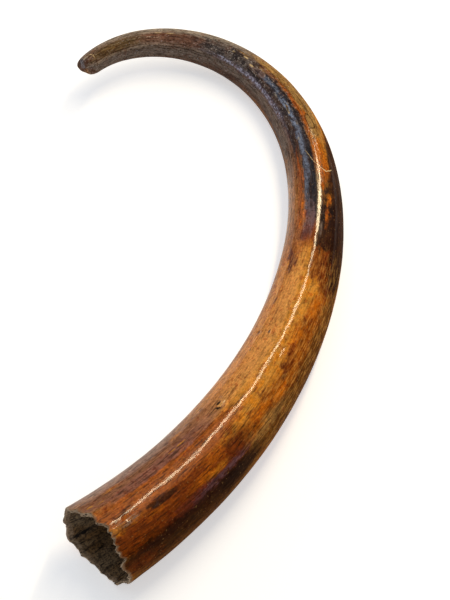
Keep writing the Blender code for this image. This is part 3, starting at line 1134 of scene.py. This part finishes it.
# %% Polished dentine
def dentine():
    """Oiled and hand polished fossil dentine."""
    material, tree, skin = finish_of("polished fossil dentine", 0.40, coat=0.28, coat_roughness=0.10,
                                     specular=0.0)
    place, along, turn = straight_places(tree)
    grain = grains_of(tree, place, DENTINE_GRAINS)
    colour, wide_turn, near_along, near_turn = stained_dentine(tree, grain, along, turn)
    colour = fibred(tree, colour, grain, along)
    colour = islands(tree, colour, grain, along, turn, wide_turn, near_turn)
    colour = dirtied(tree, colour, grain, along)
    colour = cracked(tree, colour, near_along, near_turn, CRACKS)
    # the rubbed lip of the broken edge shows paler dentine
    uneven = add(tree, MATH, grain["mottle"], 0.5, operation="SUBTRACT")
    lip = plus(tree, along, times(tree, uneven, 9.0))
    colour = flecked(tree, colour, lip, 3.2, 1.0, 0.80, "#8a6c50")

    rough = add(tree, MAP, grain["mottle"], 0.30, 0.70, 0.34, 0.52)
    tree.links.new(rough.outputs[0], skin.inputs["Roughness"])
    tree.links.new(gloss(tree, grain, along, turn).outputs[0], skin.inputs["Coat Weight"])
    height = plus(tree, times(tree, grain["fibre"], 1.0), times(tree, grain["broad fibre"], 0.8),
                  times(tree, grain["mottle"], 0.8), times(tree, grain["grit"], -1.4))
    surfaced(tree, skin, colour, height.outputs[0])
    return material


# %% [markdown]
# ## Broken edge
# Nothing was polished where the root broke.  The edge is dry and matt, full
# of dark pores like a rusk, and paler than the outside.

# %% Broken edge
EDGE_GRAINS = {"crumb": (1.6, 1.6, 3.0, 6.0), "patch": (9, 9, 2.0, 7.0)}


def broken_dentine():
    """Dry broken dentine, porous like rusk."""
    material, tree, skin = finish_of("broken dentine", 0.85, specular=0.25)
    place, _, _ = straight_places(tree)
    grain = grains_of(tree, place, EDGE_GRAINS)
    colour = flecked(tree, linear("#9c8268"), grain["patch"], 0.35, 0.65, 1.0, "#c4aa8c")
    colour = flecked(tree, colour, grain["crumb"], 0.51, 0.43, 0.92, "#241810")
    surfaced(tree, skin, colour, grain["crumb"])
    return material


# %% [markdown]
# ## Pulp hollow
# The hollow is its own natural surface, never touched by a tool: furrowed
# lengthwise, matt, and painted darker along its furrows.

# %% Pulp hollow
HOLLOW_GRAINS = {
    "furrow": (5, 42, 2.5, 13.0),
    "crumb": (1.8, 2.4, 3.0, 8.0, 0.7),
    "earth": (16, 40, 2.0, 9.0),
    "split": (2.4, 22, 3.0, 10.0, 0.6),
}
# One old crack runs in from the edge, in the terms of the stains.
MAIN_CRACK = ("main crack", "soot", (9.0, -38.0, 14.0, 1.7, 0.25, 0.96))


def hollow_wall():
    """The furrowed wall of the pulp hollow, painted darker along its furrows."""
    material, tree, skin = finish_of("pulp hollow wall", 0.88, specular=0.2)
    place, along, turn = straight_places(tree)
    grain = grains_of(tree, place, HOLLOW_GRAINS)
    colour = flecked(tree, linear("#8a6840"), grain["earth"], 0.38, 0.62, 1.0, "#9c8466")
    # darker along the furrows: the same noise that shapes the furrows
    colour = flecked(tree, colour, grain["furrow"], 0.48, 0.66, 0.70, "#2c1c10")
    colour = flecked(tree, colour, grain["crumb"], 0.46, 0.56, 0.72, "#1e1610")
    colour = flecked(tree, colour, grain["split"], 0.58, 0.64, 0.90, "#0e0a08")
    bent = swung(tree, grain, {"crumb": 9.0, "split": 12.0})
    colour = stained(tree, colour, plus(tree, along, bent).outputs[0], plus(tree, turn, bent).outputs[0],
                     (MAIN_CRACK,))
    # the pale break runs a little way into the mouth
    mouth = plus(tree, along, swung(tree, grain, {"earth": 12.0}))
    crumbs = add(tree, MAP, grain["crumb"], 0.42, 0.54, 1.0, 0.3)
    colour = flecked(tree, colour, mouth, 5.5, 3.0, 0.85, "#b49a80", crumbs)
    surfaced(tree, skin, colour, grain["crumb"])
    return material


# %% [markdown]
# ## Growing it
# The tree is hung on an empty mesh as a modifier, its sizes set by name, and
# the evaluated result is kept as a plain mesh.

# %% Tusk
HAIR = 1e-6                 # an overlap, so that rounding leaves no face without a finish
tree, skin = growth_tree()
finish_tree(tree, skin, (
    (hollow_wall(), -1.0, HOLLOW_END),
    (broken_dentine(), HOLLOW_END - HAIR, EDGE_END - HAIR),
    (dentine(), EDGE_END - HAIR, 2.0),
))
seed_mesh = bpy.data.meshes.new("tusk seed")
seed_object = bpy.data.objects.new("tusk seed", seed_mesh)
bpy.context.collection.objects.link(seed_object)
growth = seed_object.modifiers.new("growth", 'NODES')
growth.node_group = tree
for item in tree.interface.items_tree:
    if item.in_out == 'INPUT':
        growth[item.identifier] = GROWTH[item.name]
ready = bpy.context.evaluated_depsgraph_get()
grown = bpy.data.meshes.new_from_object(seed_object.evaluated_get(ready), depsgraph=ready)
grown.name = "mammoth tusk"
tusk = bpy.data.objects.new("mammoth_tusk", grown)
bpy.context.collection.objects.link(tusk)
bpy.data.objects.remove(seed_object)
if grown.materials[0] is None:
    grown.materials.pop(index=0)
grown.calc_loop_triangles()
print("triangles", len(grown.loop_triangles), "materials", [m.name for m in grown.materials])

# %% [markdown]
# ## Unwrapping
# A rolled-out tusk is a long strip, so it is cut in two and stacked: the
# root half gets the most room, then the tip half, the hollow and the edge.

# %% UV map
CUT_AT = 0.530              # where the outside is cut in two, in metres from the root
TIP_ARC = 0.018             # length of the worn end measured over its curve
U_START, U_REACH, U_AROUND = 0.01, 0.97, 0.96
# Start and height of each strip in the square.
ROOT_STRIP, TIP_STRIP = (0.005, 0.450), (0.470, 0.280)
HOLLOW_STRIP, EDGE_STRIP = (0.765, 0.195), (0.970, 0.022)


def corner_table(mesh):
    """For each corner of the mesh: its face, its straightened point and its travel."""
    straight = np.empty(len(mesh.vertices) * 3)
    mesh.attributes["straight"].data.foreach_get("vector", straight)
    travel = np.empty(len(mesh.vertices))
    mesh.attributes["travel"].data.foreach_get("value", travel)
    corner = np.empty(len(mesh.loops), dtype=int)
    mesh.loops.foreach_get("vertex_index", corner)
    count = np.empty(len(mesh.polygons), dtype=int)
    mesh.polygons.foreach_get("loop_total", count)
    return np.repeat(np.arange(len(count)), count), straight.reshape(-1, 3)[corner], travel[corner]


def turns(face, x, y):
    """Turn around the tusk at each corner, 0 to 1, kept whole over the seam and the poles."""
    turn = (np.degrees(np.arctan2(-x, y)) + 180.0) / 360.0
    middle = np.hypot(x, y) < 1e-5
    faces = face.max() + 1
    low, high = np.full(faces, 9.0), np.full(faces, -9.0)
    np.minimum.at(low, face, np.where(middle, 9.0, turn))
    np.maximum.at(high, face, np.where(middle, -9.0, turn))
    crossing = (high - low)[face] > 0.5
    turn = np.where(crossing & (turn < 0.5), turn + 1.0, turn)
    pole = np.where(crossing, 0.5 * (low + 1.0 + high)[face], 0.5 * (low + high)[face])
    return np.where(middle, pole, turn)


# %% [markdown]
# ## Four strips
# On the outside, length runs across the square and the turn runs up the
# strip.  In the hollow and on the edge it is the other way round.


# %% Strips
def unwrap(mesh):
    """Lays the skin out as four strips in one square."""
    face, straight, travel = corner_table(mesh)
    turn = turns(face, straight[:, 0], straight[:, 1])
    centre = (np.bincount(face, travel) / np.bincount(face))[face]
    body = GROWTH["Length"] - GROWTH["Tip Rounding"]
    over = np.clip((travel - WALL_END) / (1 - WALL_END), 0, 1)
    length = np.where(travel > WALL_END, body + TIP_ARC * over, straight[:, 2])
    # the ring that the cut follows, from the spacing rule of the rings
    cut_wall = math.sqrt(RING_START ** 2 + 4 * RING_GROWTH * CUT_AT / body)
    cut_wall = (cut_wall - RING_START) / (2 * RING_GROWTH)
    cut_travel = EDGE_END + cut_wall * (WALL_END - EDGE_END)

    root_half = (centre > EDGE_END) & (centre <= cut_travel)
    tip_half = centre > cut_travel
    hollow = centre < HOLLOW_END
    into = np.clip(1 - travel / HOLLOW_END, 0, 1) ** PULP_CROWDING
    edge = np.clip((travel - HOLLOW_END) / (EDGE_END - HOLLOW_END), 0, 1)
    past_cut = np.where(tip_half, length - CUT_AT, length)
    u = U_START + np.where(root_half | tip_half, U_REACH * past_cut / CUT_AT, U_AROUND * turn)
    strips = ((root_half, ROOT_STRIP, turn), (tip_half, TIP_STRIP, turn), (hollow, HOLLOW_STRIP, into))
    v = EDGE_STRIP[0] + EDGE_STRIP[1] * edge
    for chosen, (start, tall), part in strips:
        v = np.where(chosen, start + tall * part, v)
    layer = mesh.uv_layers.new(name="OFBake")
    layer.data.foreach_set("uv", np.stack((u, v), axis=1).ravel())
    print("uv from", u.min().round(3), v.min().round(3), "to", u.max().round(3), v.max().round(3))


unwrap(grown)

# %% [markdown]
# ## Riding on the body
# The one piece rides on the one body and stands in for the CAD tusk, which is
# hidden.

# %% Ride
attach(tusk, "root")
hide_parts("tusk")
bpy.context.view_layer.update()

# %% [markdown]
# ## Table
# A wide pale card.  It glows a little, so that it stays nearly white in
# front of the camera, and its shadows stay soft and light.

# %% Floor
FLOOR_REACH = 12.0
FLOOR_GAP = 0.0005          # kept under the tusk, so that the two never flicker
CORNERS = [(-FLOOR_REACH, -FLOOR_REACH, 0), (FLOOR_REACH, -FLOOR_REACH, 0),
           (FLOOR_REACH, FLOOR_REACH, 0), (-FLOOR_REACH, FLOOR_REACH, 0)]
floor_mesh = bpy.data.meshes.new("floor")
floor_mesh.from_pydata(CORNERS, [], [(0, 1, 2, 3)])
floor = bpy.data.objects.new("floor", floor_mesh)
floor.location.z = -FLOOR_GAP
bpy.context.collection.objects.link(floor)
card, _, card_skin = finish_of("white card", 0.9, specular=0.1)
card_skin.inputs["Base Color"].default_value = linear("#e4e8ee")
card_skin.inputs["Emission Color"].default_value = linear("#ffffff")
card_skin.inputs["Emission Strength"].default_value = 0.52
floor_mesh.materials.append(card)
print("floor", 2 * FLOOR_REACH, "m wide")

# %% [markdown]
# ## Light
# Two broad soft lights and a pale sky fill the room.  One long narrow lamp
# above the tusk draws the thin bright line that runs along the crest.


# %% Lights
def lamp(name, place, target, width, height, radiance, colour="#ffffff", long_side=None):
    """A soft box at place, facing target; long_side is the direction of its height."""
    data = bpy.data.lights.new(name, 'AREA')
    data.shape = 'RECTANGLE'
    data.size, data.size_y = width, height
    data.energy = radiance * math.pi * width * height
    data.color = linear(colour)[:3]
    box = bpy.data.objects.new(name, data)
    back = (Vector(place) - Vector(target)).normalized()
    tall = Vector(long_side or (0.0, 0.0, 1.0))
    across = tall.cross(back).normalized()
    tall = back.cross(across)
    box.matrix_world = Matrix.Translation(place) @ Matrix((across, tall, back)).transposed().to_4x4()
    bpy.context.collection.objects.link(box)
    return box


lamp("crest strip", (0.62, 0.84, 1.60), (0.0, 0.0, 0.05), 0.10, 2.2, 36.0, "#ffe8c0",
     long_side=(0.18, 1.15, -0.65))
lamp("left softbox", (-1.1, 1.1, 1.1), (0.0, 0.0, 0.0), 1.0, 0.8, 1.1, "#e8eeff")
lamp("overhead softbox", (0.0, 0.2, 2.6), (0.0, 0.0, 0.0), 2.4, 2.4, 0.6, long_side=(0.0, 1.0, 0.0))

world = bpy.data.worlds.new("studio")
world.use_nodes = True
sky = world.node_tree.nodes["Background"]
sky.inputs["Color"].default_value = linear("#dfe3e8")
sky.inputs["Strength"].default_value = 0.3
scene = bpy.context.scene
scene.world = world
scene.view_settings.view_transform = 'Standard'
print("lamps", len(bpy.data.lights))

# %% [markdown]
# ## Camera
# The camera looks down on the tusk from the root's side, with a long lens
# that keeps the curl true.

# %% Camera
CAMERA_AT = (0.0234, -1.1572, 1.6431)
CAMERA_ABOVE = math.radians(55.0)
CAMERA_ROLL = 0.0038
CAMERA_LENS = 100.0
camera_data = bpy.data.cameras.new("camera")
camera_data.lens = CAMERA_LENS
camera = bpy.data.objects.new("camera", camera_data)
aim = Matrix.Rotation(math.pi / 2 - CAMERA_ABOVE, 4, 'X') @ Matrix.Rotation(CAMERA_ROLL, 4, 'Z')
camera.matrix_world = Matrix.Translation(CAMERA_AT) @ aim
bpy.context.collection.objects.link(camera)
scene.camera = camera
print("camera at", CAMERA_AT, "lens", CAMERA_LENS)
